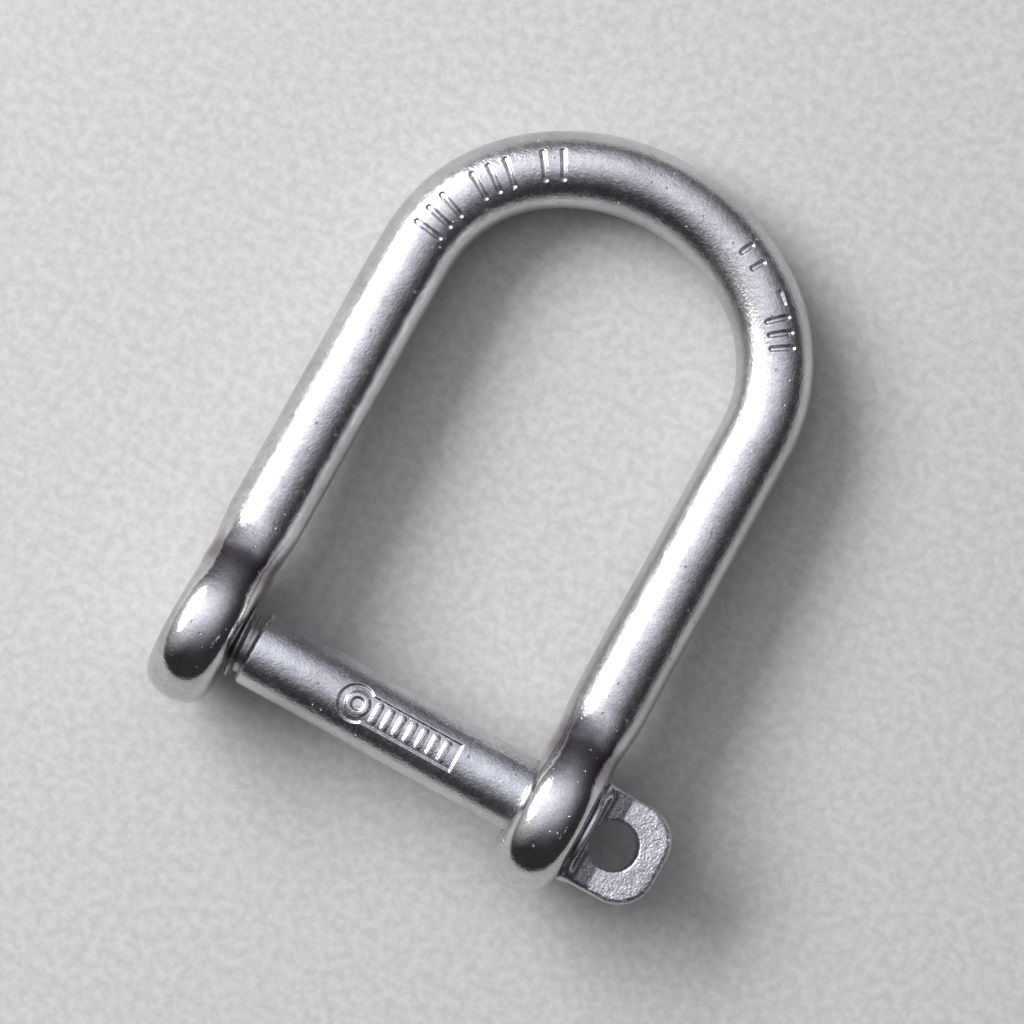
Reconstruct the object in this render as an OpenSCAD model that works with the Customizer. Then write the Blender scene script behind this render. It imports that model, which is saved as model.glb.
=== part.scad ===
// Long D-shackle with a wide jaw and a screw pin, forged in stainless steel.
// Millimetres. The origin is on the pin's axis, midway between the eyes. +X runs along the pin
// towards its head, +Y towards the crown and +Z out of the shackle's plane.

/* [Bow] */
// Diameter of the round bar that the arms and the crown are forged from
bar_d = 6; // [4.5:0.25:8]
// Clear width between the two arms
jaw_w = 24; // [20:0.5:36]
// Clear length from the pin to the inside of the crown
inside_l = 40; // [30:0.5:60]
// How much the crown is flattened from a half circle
crown_flatten = 0.8; // [0.1:0.1:2]

/* [Eyes] */
// Diameter of each eye, seen along the pin
eye_d = 13.2; // [12:0.1:16]
// Thickness of each eye along the pin, which is also the diameter of its rounded rim
eye_t = 5.2; // [4:0.1:6]
// How far the end of the bar runs into the eye
bar_run_in = 2.4; // [1.5:0.1:2.8]
// Length over which the bar narrows towards that end
bar_taper_l = 3.6; // [2.4:0.1:5]
// Length of the neck, the cone between the bar and the eye
neck_l = 4; // [3:0.25:5]
// Chamfer at the mouths of the two bores
bore_chamfer = 0.25; // [0.05:0.05:0.3]

/* [Pin] */
// Diameter of the plain shank
pin_d = 6; // [5:0.25:6.5]
// Length of the gap between the end of the shank and the threaded eye
shoulder_gap = 1.2; // [0.4:0.1:2]
// Chamfer at the end of the shank
shoulder_chamfer = 0.3; // [0.1:0.05:0.5]
// How far the thread's crests lie below the surface of the shank
thread_relief = 0.06; // [0.02:0.02:0.3]
// Pitch of the thread
thread_pitch = 1; // [0.7:0.1:1.2]
// Length of the bare point at the end of the thread
point_l = 0.5; // [0.3:0.1:1]
// Distance from the end of the point in to the outer face of the threaded eye
point_recess = 0.2; // [0:0.1:0.8]

/* [Pin head] */
// Diameter of the collar under the head
collar_d = 8.2; // [7.4:0.1:10]
// Thickness of the collar
collar_t = 0.6; // [0.3:0.1:2]
// Thickness of the lug
lug_t = 3.2; // [2:0.1:5]
// Diameter of the key hole in the lug
key_hole_d = 3.8; // [2.5:0.1:4.5]
// Width of metal around the key hole
key_hole_rim = 2.2; // [1.5:0.1:3]
// Radius of the lug's two outer corners
lug_corner_r = 3; // [1:0.1:4]
// Distance from the collar to the edge of the key hole
key_hole_land = 0.2; // [0.1:0.1:2]

/* [Clearances] */
// Radial clearance of the shank in the plain eye
shank_clearance = 0.1; // [0.05:0.05:0.3]
// Radial clearance of the thread crests in the threaded eye
thread_clearance = 0.06; // [0.03:0.01:0.2]
// Gap between the eye and the collar when the pin is screwed home
seat_gap = 0.05; // [0.03:0.01:0.2]
// Gap where the collar is cut from the rest of the pin
slice_gap = 0.02; // [0.01:0.01:0.05]

/* [Core] */
// Diameter of the core that is sealed inside the shank
core_d = 1.6; // [1.2:0.1:2.4]
// Length of the core
core_l = 2; // [1.5:0.1:4]
// How far the pin moves along the core while it is unscrewed
unscrew_travel = 5; // [4:0.5:7]
// Gap between the core and its chamber
core_gap = 0.05; // [0.03:0.01:0.1]

/* [Hidden] */
$fn = 64;
overrun = 1;

bar_r = bar_d / 2;
pin_r = pin_d / 2;
eye_r = eye_d / 2;
arm_x = jaw_w / 2 + bar_r;
crown_y = pin_r + inside_l + bar_r;

// The crown's centreline is three tangent arcs: a corner, the flatter top and the other corner.
// The centres of a corner and the top lie on the hypotenuse of a 3-4-5 triangle, where they meet.
arc_join = [3, 4];
corner_x = arc_join.x * crown_flatten;
corner_r = arm_x - corner_x;
top_r = corner_r + norm(arc_join) * crown_flatten;
top_y = crown_y - top_r;
corner_y = top_y + arc_join.y * crown_flatten;

// The bar narrows above the eye, and its end is hidden inside it.
rim_r = eye_t / 2;
bar_end_r = rim_r - 0.3;
bar_end_y = eye_r - bar_run_in;
taper_y = bar_end_y + bar_taper_l;

// The neck's wide end is hidden inside the eye and its narrow end inside the bar.
neck_y = 0.66 * eye_r;
neck_r = 0.73 * eye_r;
neck_end_r = bar_r - 0.2;

eye_inner_x = arm_x - rim_r;
eye_outer_x = arm_x + rim_r;
shoulder_x = -(eye_inner_x - shoulder_gap);
point_x = -(eye_outer_x - point_recess);
thread_x = point_x + point_l;
collar_x = eye_outer_x + seat_gap;
lug_x = collar_x + collar_t;
key_hole_x = lug_x + key_hole_land + key_hole_d / 2;
lug_r = key_hole_d / 2 + key_hole_rim;
lug_end_x = key_hole_x + lug_r;

// ISO metric thread form: depth of the flanks, and the flats as shares of the pitch.
thread_depth = 0.6134 * thread_pitch;
thread_r = pin_r - thread_relief;
thread_root_r = thread_r - thread_depth;
root_flat = 0.25;
crest_flat = 0.125;
thread_sides = 24;
rings_per_pitch = 8;
point_end_r = thread_root_r - 0.35;

function clamp(value, low, high) = max(low, min(high, value));

// Share of the full thread height at this place in the pitch, from 0 at the root to 1 at the crest.
function flank(turns) =
    let (from_crest = abs(2 * (turns - floor(turns)) - 1))
    clamp((1 - from_crest - root_flat) / (1 - root_flat - crest_flat), 0, 1);

// The thread fades in over half a pitch at the point and runs out before the shoulder.
function run_out(x) =
    clamp(min(x - thread_x, shoulder_x - x - thread_pitch / 4) / (thread_pitch / 2), 0, 1);

function thread_radius(x, angle) =
    thread_root_r + thread_depth * run_out(x) * flank((x - thread_x) / thread_pitch - angle / 360);

module along_x(x) {
    translate([x, 0, 0]) rotate([0, 90, 0]) children();
}

module along_y(x, y) {
    translate([x, y, 0]) rotate([-90, 0, 0]) children();
}

// The stretch of a ring of bar that lies inside the sector.
module crown_arc(centre, radius, sector) {
    translate(centre) intersection() {
        rotate_extrude() translate([radius, 0]) circle(d = bar_d);
        linear_extrude(height = 2 * bar_d, center = true) polygon(sector);
    }
}

module crown() {
    reach = top_r + bar_d;
    join = arc_join * reach;
    crown_arc([0, top_y, 0], top_r, [[0, 0], join, [-join.x, join.y]]);
    for (mirrored = [0, 1])
        mirror([mirrored, 0, 0])
            crown_arc([corner_x, corner_y, 0], corner_r, [[0, 0], [norm(join), 0], join]);
}

module arm(side) {
    along_y(side * arm_x, bar_end_y) cylinder(r1 = bar_end_r, r2 = bar_r, h = bar_taper_l);
    along_y(side * arm_x, taper_y) cylinder(r = bar_r, h = corner_y - taper_y);
}

// A disc square to the pin, with flat faces and a fully rounded rim.
module eye(side) {
    along_x(side * arm_x) rotate_extrude() {
        translate([0, -rim_r]) square([eye_r - rim_r, eye_t]);
        translate([eye_r - rim_r, 0]) circle(r = rim_r);
    }
}

// The bar widens to meet the eye out of the shackle's plane, but not along the pin.
module neck(side) {
    intersection() {
        along_y(side * arm_x, neck_y) cylinder(r1 = neck_r, r2 = neck_end_r, h = neck_l);
        translate([side * arm_x, eye_r, 0]) cube([eye_t, eye_d, eye_d], center = true);
    }
}

// The bore through one eye, with both mouths chamfered.
module eye_bore(side, radius) {
    along_x(side * arm_x) {
        cylinder(r = radius, h = eye_t + 2 * overrun, center = true);
        for (mouth = [0, 1])
            mirror([0, 0, mouth])
                translate([0, 0, rim_r - bore_chamfer])
                    cylinder(r1 = radius, r2 = radius + bore_chamfer + overrun, h = bore_chamfer + overrun);
    }
}

module bored_eye(side, radius) {
    difference() {
        eye(side);
        eye_bore(side, radius);
    }
}

// The forging. The arms and necks stop short of the bores, so the eyes are bored on their own.
module bow() {
    color("silver") union() {
        crown();
        for (side = [-1, 1]) {
            arm(side);
            neck(side);
        }
        bored_eye(1, pin_r + shank_clearance);
        bored_eye(-1, thread_r + thread_clearance);
    }
}

// A chamber in the shank. The core starts at its end by the head, and the pin slides over it.
module core_chamber() {
    along_x(-unscrew_travel - core_gap)
        cylinder(d = core_d + 2 * core_gap, h = core_l + unscrew_travel + 2 * core_gap);
}

module shank() {
    along_x(shoulder_x)
        cylinder(r1 = pin_r - shoulder_chamfer, r2 = pin_r, h = shoulder_chamfer);
    along_x(shoulder_x + shoulder_chamfer)
        cylinder(r = pin_r, h = lug_x + slice_gap - shoulder_x - shoulder_chamfer);
}

// A plate with two rounded outer corners.
module lug() {
    lug_start = lug_x + slice_gap;
    corner = min(lug_corner_r, lug_r);
    round_x = lug_end_x - corner;
    round_y = lug_r - corner;
    translate([lug_start, -lug_r, -lug_t / 2]) cube([round_x - lug_start, 2 * lug_r, lug_t]);
    if (round_y > 0)
        translate([lug_start, -round_y, -lug_t / 2]) cube([lug_end_x - lug_start, 2 * round_y, lug_t]);
    for (mirrored = [0, 1])
        mirror([0, mirrored, 0]) translate([round_x, round_y, 0]) intersection() {
            cylinder(r = corner, h = lug_t, center = true);
            translate([0, 0, -lug_t]) cube([2 * corner, 2 * corner, 2 * lug_t]);
        }
}

// The head's lug and the shank, in one piece.
module screw_pin() {
    color("gainsboro") difference() {
        union() {
            shank();
            lug();
        }
        translate([key_hole_x, 0, 0]) cylinder(d = key_hole_d, h = lug_t + 2 * overrun, center = true);
        core_chamber();
    }
}

// A right-hand thread with a bare point, as one closed surface: rings of points along the axis,
// whose radius follows the helix, closed by a flat cap at each end.
module pin_thread() {
    length = shoulder_x - thread_x;
    rings = 1 + ceil(length / thread_pitch * rings_per_pitch);
    step = 360 / thread_sides;
    function ring_x(ring) = ring == 0 ? point_x : thread_x + length * (ring - 1) / (rings - 1);
    function ring_radius(ring, angle) = ring == 0 ? point_end_r : thread_radius(ring_x(ring), angle);
    points = [
        for (ring = [0:rings], side = [0:thread_sides - 1])
            let (angle = side * step)
            let (radius = ring_radius(ring, angle))
            [ring_x(ring), radius * cos(angle), radius * sin(angle)]
    ];
    function at(ring, side) = ring * thread_sides + side % thread_sides;
    walls = [
        for (ring = [0:rings - 1], side = [0:thread_sides - 1])
            [at(ring, side), at(ring, side + 1), at(ring + 1, side + 1), at(ring + 1, side)]
    ];
    near_cap = [for (side = [thread_sides - 1:-1:0]) at(0, side)];
    far_cap = [for (side = [0:thread_sides - 1]) at(rings, side)];
    color("gainsboro") polyhedron(points, concat([near_cap, far_cap], walls));
}

// The collar under the head: a ring around the shank that stays square to the eye.
module pin_collar() {
    color("gainsboro") along_x(collar_x) difference() {
        cylinder(d = collar_d, h = collar_t);
        translate([0, 0, -overrun]) cylinder(r = pin_r + slice_gap, h = collar_t + 2 * overrun);
    }
}

// The core sealed inside the shank.
module pin_core() {
    color("gainsboro") along_x(0) cylinder(d = core_d, h = core_l);
}

bow();
screw_pin();
pin_thread();
pin_collar();
pin_core();
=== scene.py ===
"""Looks for the long D-shackle: a forged bow and its screw pin, in polished stainless steel.

The bow and the pin are zero surfaces of distance fields, sampled on a grid, joined into quads
and then moved onto the field. The thread is built ring by ring. Lengths are in millimetres
until a mesh is made.
"""

import math

import bmesh
import bpy
import numpy as np
from mathutils import Matrix, Vector


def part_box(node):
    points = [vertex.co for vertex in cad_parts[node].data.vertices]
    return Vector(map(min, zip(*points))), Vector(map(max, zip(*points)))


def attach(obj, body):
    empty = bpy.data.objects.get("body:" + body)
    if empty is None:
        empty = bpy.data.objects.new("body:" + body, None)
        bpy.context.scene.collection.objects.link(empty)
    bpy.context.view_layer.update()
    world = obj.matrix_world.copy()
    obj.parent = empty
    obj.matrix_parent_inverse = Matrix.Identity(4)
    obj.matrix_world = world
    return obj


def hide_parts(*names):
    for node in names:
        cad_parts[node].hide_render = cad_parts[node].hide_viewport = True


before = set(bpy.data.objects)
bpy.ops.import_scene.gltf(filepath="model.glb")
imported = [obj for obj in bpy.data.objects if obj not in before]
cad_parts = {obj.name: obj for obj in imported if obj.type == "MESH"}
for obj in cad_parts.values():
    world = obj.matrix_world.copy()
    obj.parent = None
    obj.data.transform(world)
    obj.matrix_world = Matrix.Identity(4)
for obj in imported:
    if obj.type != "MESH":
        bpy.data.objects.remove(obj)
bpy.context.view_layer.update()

MM = 0.001


def box_mm(node):
    low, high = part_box(node)
    return np.array(low) / MM, np.array(high) / MM


BOW_LOW, BOW_HIGH = box_mm("bow")
SHANK_LOW, SHANK_HIGH = box_mm("screw_pin")
THREAD_LOW, THREAD_HIGH = box_mm("pin_thread")
COLLAR_LOW, COLLAR_HIGH = box_mm("pin_collar")

# The bow's bar and eyes. An eye's rim is a flattened half round that stands out by RIM_CROWN.
BAR_R = 3.0
EYE_R = -BOW_LOW[1]
EYE_HALF_T = 2.6
RIM_CROWN = 1.9
ARM_X = BOW_HIGH[0] - BAR_R
CROWN_Y = BOW_HIGH[1] - BAR_R

# The necks: the bar's section turns into an upright, squarish oval towards the eye.
NECK_Y = 4.4
NECK_LENGTH = 4.8
NECK_TOP_Y = NECK_Y + 5.0
NECK_NARROWER = 0.34
NECK_TALLER = 1.45
NECK_TALLER_POWER = 1.3
NECK_SQUARER = 1.4
NECK_END = 0.5
SIDE_BLEND = 0.4
TOP_BLEND = 0.5

# The crown's centreline: a flatter top arc and two corner arcs, which meet on a 3-4-5 slope.
FLATTEN = 0.8
CORNER_X = 3 * FLATTEN
CORNER_R = ARM_X - CORNER_X
TOP_R = CORNER_R + 5 * FLATTEN
TOP_Y = CROWN_Y - TOP_R
CORNER_Y = TOP_Y + 4 * FLATTEN
JOIN_ANGLE = math.atan2(3, 4)
JOIN_SLOPE = 3 / 4

# The pin's shank and head.
PIN_R = SHANK_HIGH[2]
SHOULDER_X = SHANK_LOW[0]
SHOULDER_EDGE = 0.12
SHOULDER_CHAMFER = 0.3
CHAMFER_EDGE = 0.1
COS_45 = 0.7071
HEAD_END_X = SHANK_HIGH[0]
COLLAR_R = COLLAR_HIGH[1]
COLLAR_EDGE = 0.25
LUG_R = SHANK_HIGH[1]
LUG_START_X = COLLAR_LOW[0] + 0.1
LUG_HALF_T = 1.6
LUG_CORNER_R = 3.0
LUG_EDGE = 0.55
LUG_CREASE = 0.25
LUG_SLOPE = 0.36
LUG_SLOPE_COS = 0.95
KEY_HOLE_R = 1.9
KEY_HOLE_X = HEAD_END_X - LUG_R
KEY_HOLE_EDGE = 0.3
LUG_BLEND = 0.8
HEAD_BLEND = 0.25

# The thread: a 60 degree form with a flat crest and a flat root.
PITCH = 1.0
THREAD_DEPTH = 0.6134 * PITCH
CREST_FLAT = 0.125
ROOT_FLAT = 0.25
POINT_X = THREAD_LOW[0]
THREAD_X = POINT_X + 0.5
THREAD_R = THREAD_HIGH[1]
ROOT_R = THREAD_R - THREAD_DEPTH
POINT_RINGS = [
    (POINT_X, 0.8 * ROOT_R),
    (POINT_X + 0.04, ROOT_R - 0.33),
    (POINT_X + 0.3, ROOT_R - 0.1),
]

# The bores. The threaded eye's wall has shallow grooves.
BORE_R = PIN_R + 0.1
THREAD_BORE_R = THREAD_R + 0.06
WALL_GROOVE = 0.42 * THREAD_DEPTH
BORE_EDGE = 0.35

# Size and height of the forgings' unevenness.
BOW_WOBBLE = (4.5, 0.022)
PIN_WOBBLE = (4, 0.012)
PIN_WOBBLE_SHIFT = 7


# Distance fields


def smooth_min(a, b, reach):
    share = np.clip(0.5 + 0.5 * (b - a) / reach, 0, 1)
    return b + (a - b) * share - reach * share * (1 - share)


def smooth_max(a, b, reach):
    return -smooth_min(-a, -b, reach)


def smooth_step(low, high, value):
    share = np.clip((value - low) / (high - low), 0, 1)
    return share * share * (3 - 2 * share)


def inside_both(a, b, radius):
    """What lies inside both surfaces, with a round edge where they meet."""
    a, b = a + radius, b + radius
    return np.hypot(np.maximum(a, 0), np.maximum(b, 0)) + np.minimum(np.maximum(a, b), 0) - radius


def wobble(points, size, height):
    """The slight unevenness that tumbling and hand polishing leave."""
    x, y, z = (points / size).T
    waves = np.sin(1.7 * x + 0.6 * y + 0.4) * np.cos(1.3 * y - 0.8 * z)
    waves += 0.6 * np.sin(2.9 * y + 1.1 * z + 1.9) * np.cos(2.3 * x - 0.7)
    return height * waves


def thread_height(x, angle):
    """Share of the thread's height at this place: 0 in the root and 1 on the crest."""
    turns = (x - THREAD_X) / PITCH - angle / (2 * np.pi)
    from_crest = np.abs(2 * (turns - np.floor(turns)) - 1)
    return np.clip((1 - ROOT_FLAT - from_crest) / (1 - ROOT_FLAT - CREST_FLAT), 0, 1)


def segment_distance(s, t, start, end):
    start, end = np.array(start, float), np.array(end, float)
    along = end - start
    length = max(along @ along, 1e-9)
    share = np.clip(((s - start[0]) * along[0] + (t - start[1]) * along[1]) / length, 0, 1)
    return np.hypot(s - start[0] - share * along[0], t - start[1] - share * along[1])


def across_bar(x, y):
    """Distance in the shackle's plane from the bar's centreline, positive outwards."""
    in_top = x < JOIN_SLOPE * (y - TOP_Y)
    top = np.hypot(x, y - TOP_Y) - TOP_R
    corner = np.hypot(x - CORNER_X, y - CORNER_Y) - CORNER_R
    return np.where(y < CORNER_Y, x - ARM_X, np.where(in_top, top, corner))


def along_bar(x, y):
    """Length along the centreline from the middle of the crown, negative on the -X side."""
    side = np.abs(x)
    top = TOP_R * np.arctan2(side, y - TOP_Y)
    corner_angle = np.arctan2(side - CORNER_X, np.maximum(y - CORNER_Y, 0))
    corner = TOP_R * JOIN_ANGLE + CORNER_R * (corner_angle - JOIN_ANGLE)
    straight = np.maximum(CORNER_Y - y, 0)
    return np.where(side < JOIN_SLOPE * (y - TOP_Y), top, corner + straight) * np.sign(x)


# Plain tally strokes stamped into the crown, each from (s, t) to (s, t): s is the length along
# the bar from the crown's middle, and t the place across it, positive outwards.
TALLY_HALF = 1.05
LEFT_TALLY = [-20.6, -19.3, -18.0, -15.4, -14.1, -12.8, -10.1, -8.6]
STAMPS = [((s, -TALLY_HALF), (s, TALLY_HALF)) for s in LEFT_TALLY]
STAMPS += [((s, 0.1), (s, 1.0)) for s in (7.2, 8.7)]
STAMPS += [((11.2, 1.1), (12.0, 1.1))]
STAMPS += [((s, -0.5), (s, 1.1)) for s in (13.0, 14.1, 15.2)]
STAMP_HALF_WIDTH = 0.18
STAMP_DEPTH = 0.17


def stamp_depth(x, y, z):
    s = along_bar(x, y)
    t = across_bar(np.abs(x), y)
    nearest = np.full(len(s), np.inf)
    for start, end in STAMPS:
        nearest = np.minimum(nearest, segment_distance(s, t, start, end))
    depth = 1 - smooth_step(0.3 * STAMP_HALF_WIDTH, 1.6 * STAMP_HALF_WIDTH, nearest)
    return STAMP_DEPTH * depth * (z > 0)


def bow_field(points):
    x, y, z = points.T
    side = np.abs(x)
    off_eye = side - ARM_X
    across = across_bar(side, y)

    near_eye = 1 - smooth_step(NECK_Y, NECK_Y + NECK_LENGTH, y)
    wide = BAR_R - NECK_NARROWER * near_eye
    tall = BAR_R + NECK_TALLER * near_eye**NECK_TALLER_POWER
    power = 2 + NECK_SQUARER * near_eye
    oval = (np.abs(across / wide) ** power + np.abs(z / tall) ** power) ** (1 / power)
    bar = np.where(y < NECK_TOP_Y, (oval - 1) * wide, np.hypot(across, z) - BAR_R)
    bar = np.maximum(bar, np.maximum(NECK_Y - y, 0) - NECK_END)

    around = np.hypot(y, z)
    past_rim = np.maximum(around - (EYE_R - RIM_CROWN), 0)
    eye = (np.hypot(past_rim / RIM_CROWN, off_eye / EYE_HALF_T) - 1) * RIM_CROWN

    # the neck runs into the eye more softly on top than at its sides
    reach = SIDE_BLEND + TOP_BLEND * z**2 / (z**2 + 4 * off_eye**2 + 0.5)
    body = smooth_min(bar, eye, reach)
    groove = WALL_GROOVE * thread_height(x, np.arctan2(z, y))
    bore_r = np.where(x < 0, THREAD_BORE_R + groove, BORE_R)
    body = smooth_max(body, bore_r - around, BORE_EDGE)
    return body + wobble(points, *BOW_WOBBLE) + stamp_depth(x, y, z)


# The pin's panel: a sunk block, square at the end by the head, that ends in a round field with a
# boss. A row of plain bars stands up in the block.
PANEL_START, PANEL_END, PANEL_HALF = -3.5, 6.6, 1.1
PANEL_DEPTH = 0.16
FIELD_EXTRA = 0.35
FIELD_X = PANEL_START + PANEL_HALF + FIELD_EXTRA
BOSS_X = PANEL_START + 1.55
BOSS_R, BOSS_HALF_WIDTH = 0.72, 0.2
BAR_STARTS = [-0.35 + 0.98 * i for i in range(7)]
BAR_HALF, BAR_HALF_WIDTH = 0.66, 0.19
SUNK_EDGE = (-0.12, 0.12)
RAISED_EDGE = (-0.1, 0.14)


def panel_depth(x, y, z):
    round_field = np.hypot(x - FIELD_X, y) - PANEL_HALF - FIELD_EXTRA
    past_end = np.abs(x - (FIELD_X + PANEL_END) / 2) - (PANEL_END - FIELD_X) / 2
    block = np.maximum(past_end, np.abs(y) - PANEL_HALF)
    sunk = 1 - smooth_step(*SUNK_EDGE, np.minimum(round_field, block))
    boss = np.abs(np.hypot(x - BOSS_X, y) - BOSS_R) - BOSS_HALF_WIDTH
    raised = 1 - smooth_step(*RAISED_EDGE, boss)
    for start in BAR_STARTS:
        bar = segment_distance(x, y, (start, -BAR_HALF), (start, BAR_HALF)) - BAR_HALF_WIDTH
        raised = np.maximum(raised, 1 - smooth_step(*RAISED_EDGE, bar))
    return PANEL_DEPTH * sunk * (1 - raised) * (z > 0)


def pin_field(points):
    x, y, z = points.T
    around = np.hypot(y, z)
    shank = smooth_max(around - PIN_R, SHOULDER_X - x, SHOULDER_EDGE)
    chamfer = (around - PIN_R + SHOULDER_X + SHOULDER_CHAMFER - x) * COS_45
    shank = smooth_max(shank, chamfer, CHAMFER_EDGE)
    shank = np.maximum(shank, x - COLLAR_HIGH[0])

    collar_mid = (COLLAR_LOW[0] + COLLAR_HIGH[0]) / 2
    collar_half = (COLLAR_HIGH[0] - COLLAR_LOW[0]) / 2
    collar = inside_both(around - COLLAR_R, np.abs(x - collar_mid) - collar_half, COLLAR_EDGE)

    outline = inside_both(x - HEAD_END_X, np.abs(y) - LUG_R, LUG_CORNER_R)
    outline = np.maximum(outline, LUG_START_X - x)
    # the lug's faces slope up to the collar from a crease beside the hole's middle
    before_crease = np.maximum(KEY_HOLE_X - LUG_CREASE - x, 0)
    above_face = (np.abs(z) - LUG_HALF_T - LUG_SLOPE * before_crease) * LUG_SLOPE_COS
    lug = inside_both(outline, above_face, LUG_EDGE)
    lug = smooth_max(lug, KEY_HOLE_R - np.hypot(x - KEY_HOLE_X, y), KEY_HOLE_EDGE)

    head = smooth_min(collar, lug, LUG_BLEND)
    body = smooth_min(shank, head, HEAD_BLEND)
    return body + wobble(points + PIN_WOBBLE_SHIFT, *PIN_WOBBLE) + panel_depth(x, y, z)


# Meshes from fields

LEAST_SLOPE = 0.05
LONGEST_MOVE = 0.2
KEPT_IN_RELAX = 0.4


def slope_of(field, points, size=0.01):
    value = field(points)
    slope = np.empty_like(points)
    for axis in range(3):
        step = np.zeros(3)
        step[axis] = size
        slope[:, axis] = (field(points + step) - field(points - step)) / (2 * size)
    return value, slope


def settle(points, field, rounds):
    """Moves the points onto the field's zero surface, down its slope."""
    for _ in range(rounds):
        value, slope = slope_of(field, points)
        move = value / np.maximum((slope**2).sum(1), LEAST_SLOPE)
        points = points - np.clip(move, -LONGEST_MOVE, LONGEST_MOVE)[:, None] * slope
    return points


def surface_net(field, low, high, step):
    """Vertices and outward quads of the zero surface, one vertex to each cell it crosses.

    The grid reaches three steps past the box from low to high.
    """
    axes = [np.arange(a - 3 * step, b + 3.5 * step, step) for a, b in zip(low, high)]
    shape = tuple(len(a) for a in axes)
    inside = np.empty(shape, bool)
    across_y, across_z = np.meshgrid(axes[1], axes[2], indexing="ij")
    for i, x in enumerate(axes[0]):
        layer = np.stack([np.full(across_y.size, x), across_y.ravel(), across_z.ravel()], 1)
        inside[i] = (field(layer) < 0).reshape(across_y.shape)
    count = np.zeros(tuple(n - 1 for n in shape), int)
    for i in (0, 1):
        for j in (0, 1):
            for k in (0, 1):
                count += inside[i : shape[0] - 1 + i, j : shape[1] - 1 + j, k : shape[2] - 1 + k]
    crossed = (count > 0) & (count < 8)
    number = np.full(count.shape, -1)
    number[crossed] = np.arange(crossed.sum())
    start = np.array([a[0] for a in axes])
    points = start + (np.argwhere(crossed) + 0.5) * step
    quads = []
    unit = np.eye(3, dtype=int)
    for a in range(3):
        b, c = (a + 1) % 3, (a + 2) % 3
        near = np.take(inside, range(shape[a] - 1), axis=a)
        far = np.take(inside, range(1, shape[a]), axis=a)
        at = np.argwhere(near != far)
        cells = [at - unit[b] - unit[c], at - unit[c], at, at - unit[b]]
        quad = np.stack([number[tuple(cell.T)] for cell in cells], 1)
        outward = near[tuple(at.T)]
        quad[~outward] = quad[~outward][:, ::-1]
        quads.append(quad)
    return points, np.concatenate(quads)


def relax(points, quads, field, rounds=3):
    """Evens out the quads and puts them back on the surface."""
    edges = np.concatenate([quads[:, [i, (i + 1) % 4]] for i in range(4)])
    for _ in range(rounds):
        total = np.zeros_like(points)
        count = np.zeros(len(points))
        for here, there in ((0, 1), (1, 0)):
            np.add.at(total, edges[:, here], points[edges[:, there]])
            np.add.at(count, edges[:, here], 1)
        points = KEPT_IN_RELAX * points + (1 - KEPT_IN_RELAX) * total / count[:, None]
        points = settle(points, field, 2)
    return points


def refined(mesh, near, cuts):
    """Splits the faces whose middles lie in the region into smaller ones."""
    work = bmesh.new()
    work.from_mesh(mesh)
    middles = np.array([face.calc_center_median() for face in work.faces])
    chosen = near(middles)
    edges = {edge for face, take in zip(work.faces, chosen) if take for edge in face.edges}
    bmesh.ops.subdivide_edges(work, edges=list(edges), cuts=cuts, use_grid_fill=True)
    bmesh.ops.triangulate(work, faces=[face for face in work.faces if len(face.verts) > 4])
    work.to_mesh(mesh)
    work.free()


def vertices_of(mesh):
    flat = np.empty(3 * len(mesh.vertices))
    mesh.vertices.foreach_get("co", flat)
    return flat.reshape(-1, 3)


def smooth_piece(name, mesh):
    mesh.polygons.foreach_set("use_smooth", [True] * len(mesh.polygons))
    piece = bpy.data.objects.new(name, mesh)
    bpy.context.scene.collection.objects.link(piece)
    return piece


def field_piece(name, field, low, high, step, details):
    points, quads = surface_net(field, low, high, step)
    points = relax(points, quads, field)
    mesh = bpy.data.meshes.new(name)
    mesh.from_pydata(points.tolist(), [], quads.tolist())
    for near, cuts in details:
        refined(mesh, near, cuts)
    points = settle(vertices_of(mesh), field, 5)
    _, normals = slope_of(field, points)
    normals /= np.linalg.norm(normals, axis=1)[:, None]
    mesh.vertices.foreach_set("co", (points * MM).ravel())
    piece = smooth_piece(name, mesh)
    mesh.update()
    mesh.normals_split_custom_set_from_vertices(normals.tolist())
    return piece


# The regions that get smaller faces: the stamps, the bores, the pin's panel and its head.
STAMPED_LEFT, STAMPED_RIGHT = (-21.3, -7.9), (6.6, 15.9)
STAMPED_HALF, STAMPED_LOWEST = 1.6, 1
NEAR_BORE_R, EYES_START_X = 3.7, 12
NEAR_PANEL_HALF, NEAR_PANEL_LOWEST, NEAR_PANEL_MARGIN = 1.6, 2, 0.4
NEAR_HEAD_MARGIN = 0.3


def between(value, low, high):
    return (value > low) & (value < high)


def near_stamps(points):
    x, y, z = points.T
    s, t = along_bar(x, y), across_bar(np.abs(x), y)
    stamped = between(s, *STAMPED_LEFT) | between(s, *STAMPED_RIGHT)
    return (z > STAMPED_LOWEST) & (np.abs(t) < STAMPED_HALF) & stamped


def near_bores(points):
    x, y, z = points.T
    return (np.hypot(y, z) < NEAR_BORE_R) & (np.abs(x) > EYES_START_X)


def near_panel(points):
    x, y, z = points.T
    along = between(x, PANEL_START - NEAR_PANEL_MARGIN, PANEL_END + NEAR_PANEL_MARGIN)
    return (z > NEAR_PANEL_LOWEST) & (np.abs(y) < NEAR_PANEL_HALF) & along


def near_head(points):
    return points[:, 0] > COLLAR_LOW[0] - NEAR_HEAD_MARGIN


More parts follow.
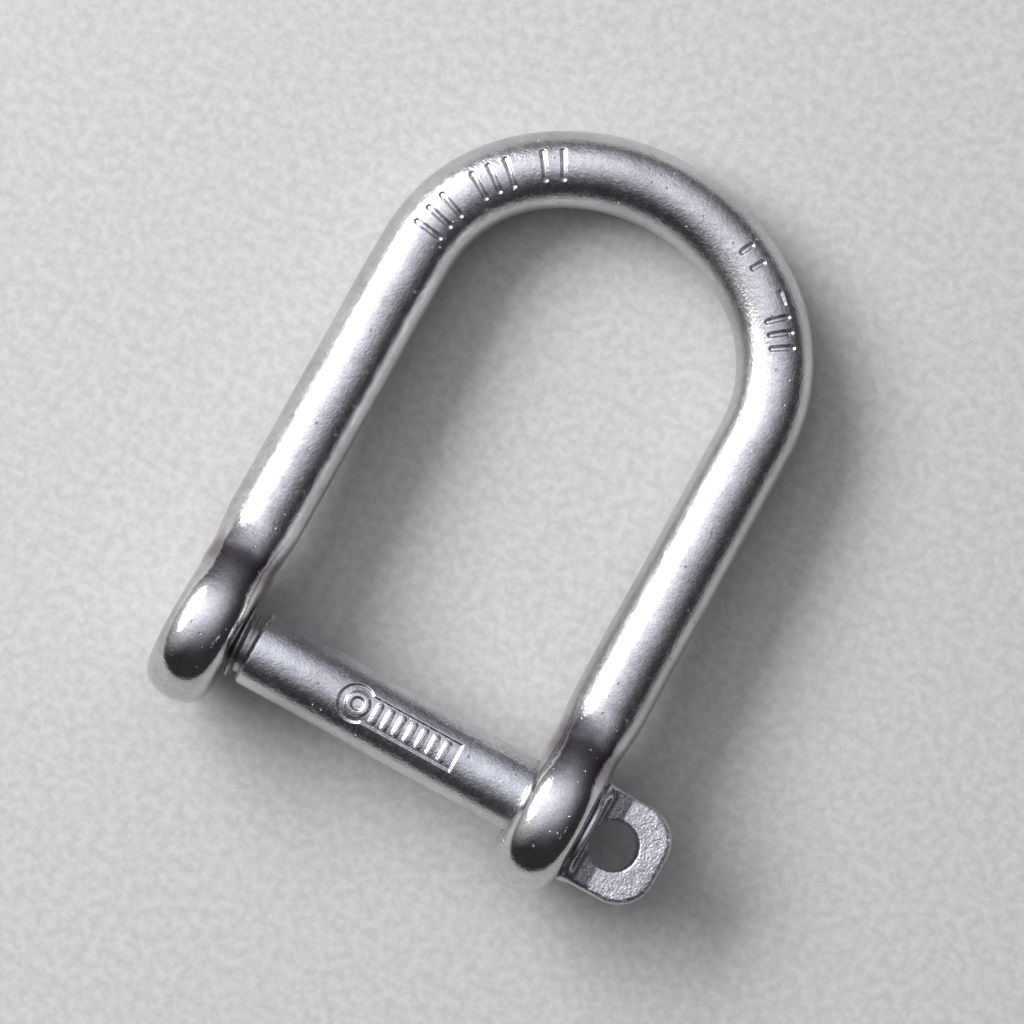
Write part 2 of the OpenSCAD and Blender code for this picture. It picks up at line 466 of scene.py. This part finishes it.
def thread_piece():
    """The cut thread and its bare point, as rings of points along the pin."""
    sides, rings_per_pitch = 96, 24
    start, end = THREAD_X, SHOULDER_X + 0.35
    rings = int((end - start) / PITCH * rings_per_pitch)
    angle = np.linspace(0, 2 * np.pi, sides, endpoint=False)
    rows = [(x, np.full(sides, r)) for x, r in POINT_RINGS]
    for ring in range(rings + 1):
        x = start + (end - start) * ring / rings
        # the thread rises over half a turn at the point and runs out before the shoulder
        fade = np.clip((x - start) / (0.5 * PITCH), 0, 1)
        fade *= np.clip((SHOULDER_X - 0.2 - x) / 0.4, 0, 1)
        rows.append((x, ROOT_R + THREAD_DEPTH * fade * thread_height(x, angle)))
    work = bmesh.new()
    loops = []
    for x, radius in rows:
        points = [(x, r * math.cos(a), r * math.sin(a)) for r, a in zip(radius, angle)]
        loops.append([work.verts.new([value * MM for value in point]) for point in points])
    for near, far in zip(loops, loops[1:]):
        for i in range(sides):
            j = (i + 1) % sides
            work.faces.new((near[i], near[j], far[j], far[i]))
    for loop, x in ((loops[0], rows[0][0]), (loops[-1], rows[-1][0])):
        middle = work.verts.new((x * MM, 0, 0))
        for i in range(sides):
            work.faces.new((loop[i], loop[(i + 1) % sides], middle))
    bmesh.ops.recalc_face_normals(work, faces=work.faces)
    mesh = bpy.data.meshes.new("pin_thread_cut")
    work.to_mesh(mesh)
    work.free()
    piece = smooth_piece("pin_thread_cut", mesh)
    mesh.set_sharp_from_angle(angle=math.radians(40))
    return piece


coarse = 1.0
fine_cuts = 2
bow = field_piece(
    "bow_forging",
    bow_field,
    BOW_LOW,
    BOW_HIGH,
    0.245 * coarse,
    [(near_bores, 1), (near_stamps, fine_cuts)],
)
pin = field_piece(
    "pin_forging",
    pin_field,
    np.array([SHOULDER_X, -COLLAR_R, -COLLAR_R]),
    np.array([HEAD_END_X, COLLAR_R, COLLAR_R]),
    0.2 * coarse,
    [(near_head, 1), (near_panel, fine_cuts)],
)
thread = thread_piece()


# Materials


class Nodes:
    """Short calls for building a node tree."""

    def __init__(self, tree):
        self.tree = tree
        tree.nodes.clear()

    def fill(self, socket, value):
        """Sets the socket, or links it where the value is another node's output."""
        if isinstance(value, bpy.types.NodeSocket):
            self.tree.links.new(value, socket)
        else:
            socket.default_value = value

    def add(self, kind, inputs=None, **settings):
        node = self.tree.nodes.new(kind)
        for name, value in settings.items():
            setattr(node, name, value)
        for name, value in (inputs or {}).items():
            self.fill(node.inputs[name], value)
        return node

    def ramp(self, factor, stops):
        node = self.add("ShaderNodeValToRGB", {"Fac": factor})
        ramp = node.color_ramp
        while len(ramp.elements) < len(stops):
            ramp.elements.new(0.5)
        for element, (place, colour) in zip(ramp.elements, stops):
            element.position = place
            element.color = colour if isinstance(colour, tuple) else (colour, colour, colour, 1)
        return node.outputs["Color"]

    def maths(self, operation, a, b=0.0):
        node = self.add("ShaderNodeMath", operation=operation)
        self.fill(node.inputs[0], a)
        self.fill(node.inputs[1], b)
        return node.outputs[0]

    def weighted(self, a, weight_a, b, weight_b):
        scaled = [self.maths("MULTIPLY", a, weight_a), self.maths("MULTIPLY", b, weight_b)]
        return self.maths("ADD", *scaled)

    def rescale(self, value, low, high, to_low, to_high, **settings):
        """Maps low..high to to_low..to_high, and holds the ends beyond."""
        inputs = {"Value": value, "From Min": low, "From Max": high}
        inputs.update({"To Min": to_low, "To Max": to_high})
        return self.add("ShaderNodeMapRange", inputs, **settings).outputs[0]

    def mix(self, share, a, b):
        node = self.add("ShaderNodeMix", {"Factor": share, "A": a, "B": b}, data_type="RGBA")
        return next(socket for socket in node.outputs if socket.type == "RGBA")

    def axis(self, vector, name):
        return self.add("ShaderNodeSeparateXYZ", {"Vector": vector}).outputs[name]

    def noise(self, vector, size_mm, detail, roughness):
        scale = 1 / (size_mm * MM)
        inputs = {"Vector": vector, "Scale": scale, "Detail": detail, "Roughness": roughness}
        return self.add("ShaderNodeTexNoise", inputs).outputs["Fac"]


# Sizes in millimetres of what the steel's surface shows.
FINE_GRAIN, MOTTLE, CLOUD, STREAK, PIT_SPACING = 0.2, 0.55, 5.0, 0.5, 1.1
BUMP_HEIGHT = 0.05
# The band of painted dark reflection: where it is full, where it is gone, and its edge's wave.
PAINTED_DARK_FULL, PAINTED_DARK_GONE, PAINTED_DARK_WAVE = 0.3, 2.1, 3
POLISH_FADE = 2
COARSE_FADE = 2

PIT_COLOUR = (0.12, 0.12, 0.13, 1)
PIT_SHARE = 0.35
PIT_DEPTH = 1.2
# Colour and share of the painted dark reflection.
PAINTED_DARK_COLOUR = (0.21, 0.175, 0.2, 1)
PAINTED_DARK_SHARE = 0.75
POLISHED = 0.35
COARSER = 3.0


def steel(name, tints, roughness, polish_below_y=None, coarse_beyond_x=None, painted_dark_y=None):
    """Tumbled and polished stainless steel: satin grain, cloudy tint, streaks and small pits.

    tints and roughness are (low, high). It is shinier below polish_below_y, its grain is deeper
    beyond coarse_beyond_x, and a band of painted dark reflection crosses it at the last
    argument's y.
    """
    material = bpy.data.materials.new(name)
    material.use_nodes = True
    nodes = Nodes(material.node_tree)
    place = nodes.add("ShaderNodeTexCoord").outputs["Object"]
    fine = nodes.noise(place, FINE_GRAIN, 3, 0.6)
    mottle = nodes.noise(place, MOTTLE, 2, 0.5)
    grain = nodes.weighted(fine, 0.6, mottle, 0.4)
    cloud = nodes.noise(place, CLOUD, 3, 0.6)
    lengthwise = nodes.add("ShaderNodeMapping", {"Vector": place, "Scale": (1.0, 0.25, 1.0)})
    streaks = nodes.noise(lengthwise.outputs[0], STREAK, 4, 0.7)
    cells = nodes.add("ShaderNodeTexVoronoi", {"Vector": place, "Scale": 1 / (PIT_SPACING * MM)})
    pit = nodes.ramp(cells.outputs["Distance"], [(0.0, 1.0), (0.07, 0.7), (0.1, 0.0)])

    shade = nodes.weighted(cloud, 0.5, grain, 0.5)
    colour = nodes.ramp(shade, [(0.38, tints[0]), (0.62, tints[1])])
    colour = nodes.mix(nodes.maths("MULTIPLY", pit, PIT_SHARE), colour, PIT_COLOUR)
    if painted_dark_y is not None:
        # painted dark reflection: a darker band with a wavy edge, where the necks reflect
        # something dark
        wave = nodes.maths("MULTIPLY", nodes.maths("SUBTRACT", cloud, 0.5), PAINTED_DARK_WAVE * MM)
        wavy = nodes.maths("ADD", nodes.axis(place, "Y"), wave)
        off_middle = nodes.maths("ABSOLUTE", nodes.maths("SUBTRACT", wavy, painted_dark_y * MM))
        share = nodes.rescale(
            off_middle,
            PAINTED_DARK_FULL * MM,
            PAINTED_DARK_GONE * MM,
            PAINTED_DARK_SHARE,
            0.0,
            interpolation_type="SMOOTHSTEP",
        )
        colour = nodes.mix(share, colour, PAINTED_DARK_COLOUR)

    spread = nodes.weighted(grain, 0.6, streaks, 0.4)
    rough = nodes.rescale(spread, 0.3, 0.7, *roughness)
    grain_depth = 1.0
    if polish_below_y is not None:
        grain_depth = nodes.rescale(
            nodes.axis(place, "Y"),
            (polish_below_y - POLISH_FADE) * MM,
            (polish_below_y + POLISH_FADE) * MM,
            POLISHED,
            1.0,
            interpolation_type="SMOOTHSTEP",
        )
        rough = nodes.maths("MULTIPLY", rough, grain_depth)
    if coarse_beyond_x is not None:
        grain_depth = nodes.rescale(
            nodes.axis(place, "X"),
            coarse_beyond_x * MM,
            (coarse_beyond_x + COARSE_FADE) * MM,
            1.0,
            COARSER,
        )
    grain_height = nodes.maths("MULTIPLY", grain, grain_depth)
    height = nodes.maths("SUBTRACT", grain_height, nodes.maths("MULTIPLY", pit, PIT_DEPTH))
    bump = nodes.add(
        "ShaderNodeBump", {"Strength": 1.0, "Distance": BUMP_HEIGHT * MM, "Height": height}
    )
    shader = nodes.add(
        "ShaderNodeBsdfPrincipled",
        {
            "Base Color": colour,
            "Metallic": 1.0,
            "Roughness": rough,
            "Normal": bump.outputs[0],
        },
    )
    nodes.add("ShaderNodeOutputMaterial", {"Surface": shader.outputs[0]})
    return material


bow_steel = steel(
    "bow_steel_polished",
    [(0.48, 0.465, 0.48, 1), (0.72, 0.72, 0.735, 1)],
    (0.12, 0.3),
    polish_below_y=7.5,
    # a band of painted dark reflection across both necks
    painted_dark_y=5.3,
)
pin_steel = steel(
    "pin_steel_polished",
    [(0.46, 0.455, 0.475, 1), (0.70, 0.705, 0.73, 1)],
    (0.14, 0.32),
    coarse_beyond_x=COLLAR_HIGH[0] + 0.5,
)
# The thread's darker tints are painted shade: they darken the thread in the gap beside the eye,
# where the eye's shadow falls.
thread_steel_painted_shade = steel(
    "pin_steel_thread_painted_shade", [(0.3, 0.3, 0.3, 1), (0.44, 0.44, 0.44, 1)], (0.22, 0.4)
)

for piece, material, body, slot, nodes_replaced in (
    (bow, bow_steel, "bow", "bow_steel", ["bow"]),
    (pin, pin_steel, "screw_pin", "pin_steel", ["screw_pin", "pin_collar", "pin_core"]),
    (thread, thread_steel_painted_shade, "screw_pin", "pin_steel", ["pin_thread"]),
):
    piece.data.materials.append(material)
    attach(piece, body)
    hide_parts(*nodes_replaced)


# Floor, lights and camera. The shackle lies on its two eyes and its crown, so in its own frame
# the floor is tilted.

TILT = math.asin((EYE_R - BAR_R) / CROWN_Y)
UP = Vector((0, -math.sin(TILT), math.cos(TILT)))
EAST = Vector((1, 0, 0))
NORTH = UP.cross(EAST)


def compass(east, north, up):
    return (EAST * east + NORTH * north + UP * up).normalized()


def placed(obj, where, back, roll=0.0):
    """Puts an object where told, with its local +Z along back."""
    back = Vector(back).normalized()
    right = EAST * math.cos(roll) + NORTH * math.sin(roll)
    right = (right - back * right.dot(back)).normalized()
    above = back.cross(right)
    turn = Matrix((right, above, back)).transposed()
    obj.matrix_world = Matrix.Translation(where) @ turn.to_4x4()
    bpy.context.scene.collection.objects.link(obj)
    return obj


def floor_material():
    material = bpy.data.materials.new("floor_pale")
    material.use_nodes = True
    nodes = Nodes(material.node_tree)
    place = nodes.add("ShaderNodeTexCoord").outputs["Object"]
    fine = nodes.noise(place, 0.8, 3, 0.6)
    colour = nodes.ramp(fine, [(0.35, (0.41, 0.402, 0.39, 1)), (0.65, (0.49, 0.482, 0.47, 1))])
    shader = nodes.add(
        "ShaderNodeBsdfPrincipled",
        {"Base Color": colour, "Roughness": 0.8, "Specular IOR Level": 0.2},
    )
    nodes.add("ShaderNodeOutputMaterial", {"Surface": shader.outputs[0]})
    return material


FLOOR_HALF = 1.5
FLOOR_GAP = 0.02
floor_corners = [
    (east * FLOOR_HALF, north * FLOOR_HALF, 0)
    for east, north in ((-1, -1), (1, -1), (1, 1), (-1, 1))
]
floor_mesh = bpy.data.meshes.new("floor")
floor_mesh.from_pydata(floor_corners, [], [(0, 1, 2, 3)])
floor_mesh.materials.append(floor_material())
floor = bpy.data.objects.new("floor", floor_mesh)
placed(floor, -UP * (EYE_R + FLOOR_GAP) * MM, UP)

LIGHT_DISTANCE = 0.6
SHACKLE_MIDDLE = Vector((0, 21 * MM, 0))


def light(name, direction, length, thickness, power):
    """An oval light, seen from the shackle in a direction of (east, north, up).

    Its length runs north and its thickness runs up and down.
    """
    lamp = bpy.data.lights.new(name, "AREA")
    lamp.shape = "ELLIPSE"
    lamp.size, lamp.size_y = length, thickness
    lamp.energy = power
    away = compass(*direction)
    where = SHACKLE_MIDDLE + away * LIGHT_DISTANCE
    return placed(bpy.data.objects.new(name, lamp), where, away, math.pi / 2)


light("key_west", (-0.79, 0.1, 0.6), 0.6, 0.26, 5.4)
light("spark_east", (0.77, -0.16, 0.62), 0.012, 0.012, 0.005)
light("spark_south", (0.70, -0.34, 0.62), 0.012, 0.012, 0.004)

# The world's light in every direction, and its glows: (east, north, up), the cosine at which a
# glow begins, how fast it falls off, and its colour.
WORLD_BASE = (0.04, 0.038, 0.042)
WORLD_GLOWS = (
    ((-0.79, 0.0, 0.61), 0.5, 2, (1.1, 1.1, 1.1)),
    ((-0.201, 0.352, 0.915), 0.0, 4, (1.06, 1.08, 1.19)),
)


def studio_world():
    """A soft glow in the west, a wide cooler one high in the north-west, and dim elsewhere."""
    world = bpy.data.worlds.new("studio")
    world.use_nodes = True
    nodes = Nodes(world.node_tree)
    toward = nodes.add("ShaderNodeTexCoord").outputs["Generated"]
    total = WORLD_BASE
    for direction, begins, power, colour in WORLD_GLOWS:
        facing = nodes.add("ShaderNodeVectorMath", operation="DOT_PRODUCT")
        nodes.fill(facing.inputs[0], toward)
        nodes.fill(facing.inputs[1], compass(*direction))
        glow = nodes.rescale(facing.outputs["Value"], begins, 1.0, 0.0, 1.0)
        strength = nodes.maths("POWER", glow, power)
        scaled = nodes.add("ShaderNodeVectorMath", {"Scale": strength}, operation="SCALE")
        nodes.fill(scaled.inputs[0], colour)
        added = nodes.add("ShaderNodeVectorMath", operation="ADD")
        nodes.fill(added.inputs[0], scaled.outputs[0])
        nodes.fill(added.inputs[1], total)
        total = added.outputs[0]
    background = nodes.add("ShaderNodeBackground", {"Color": total, "Strength": 1.0})
    nodes.add("ShaderNodeOutputWorld", {"Surface": background.outputs[0]})
    return world


bpy.context.scene.world = studio_world()

# The camera looks straight down. The picture is 1024 pixels wide, at 13 to the millimetre.
VIEW_WIDTH = 1024 / 13 * MM
VIEW_MIDDLE = Vector((1.24 * MM, 18.7 * MM, 0))
VIEW_ROLL = math.radians(29)
CAMERA_DISTANCE = 0.33
SENSOR_WIDTH = 36

camera_data = bpy.data.cameras.new("camera")
camera_data.sensor_width = SENSOR_WIDTH
camera_data.lens = SENSOR_WIDTH * CAMERA_DISTANCE / VIEW_WIDTH
camera_data.clip_start = 0.01
camera = bpy.data.objects.new("camera", camera_data)
placed(camera, VIEW_MIDDLE + UP * CAMERA_DISTANCE, UP, VIEW_ROLL)
bpy.context.scene.camera = camera

bpy.context.scene.view_settings.view_transform = "Standard"
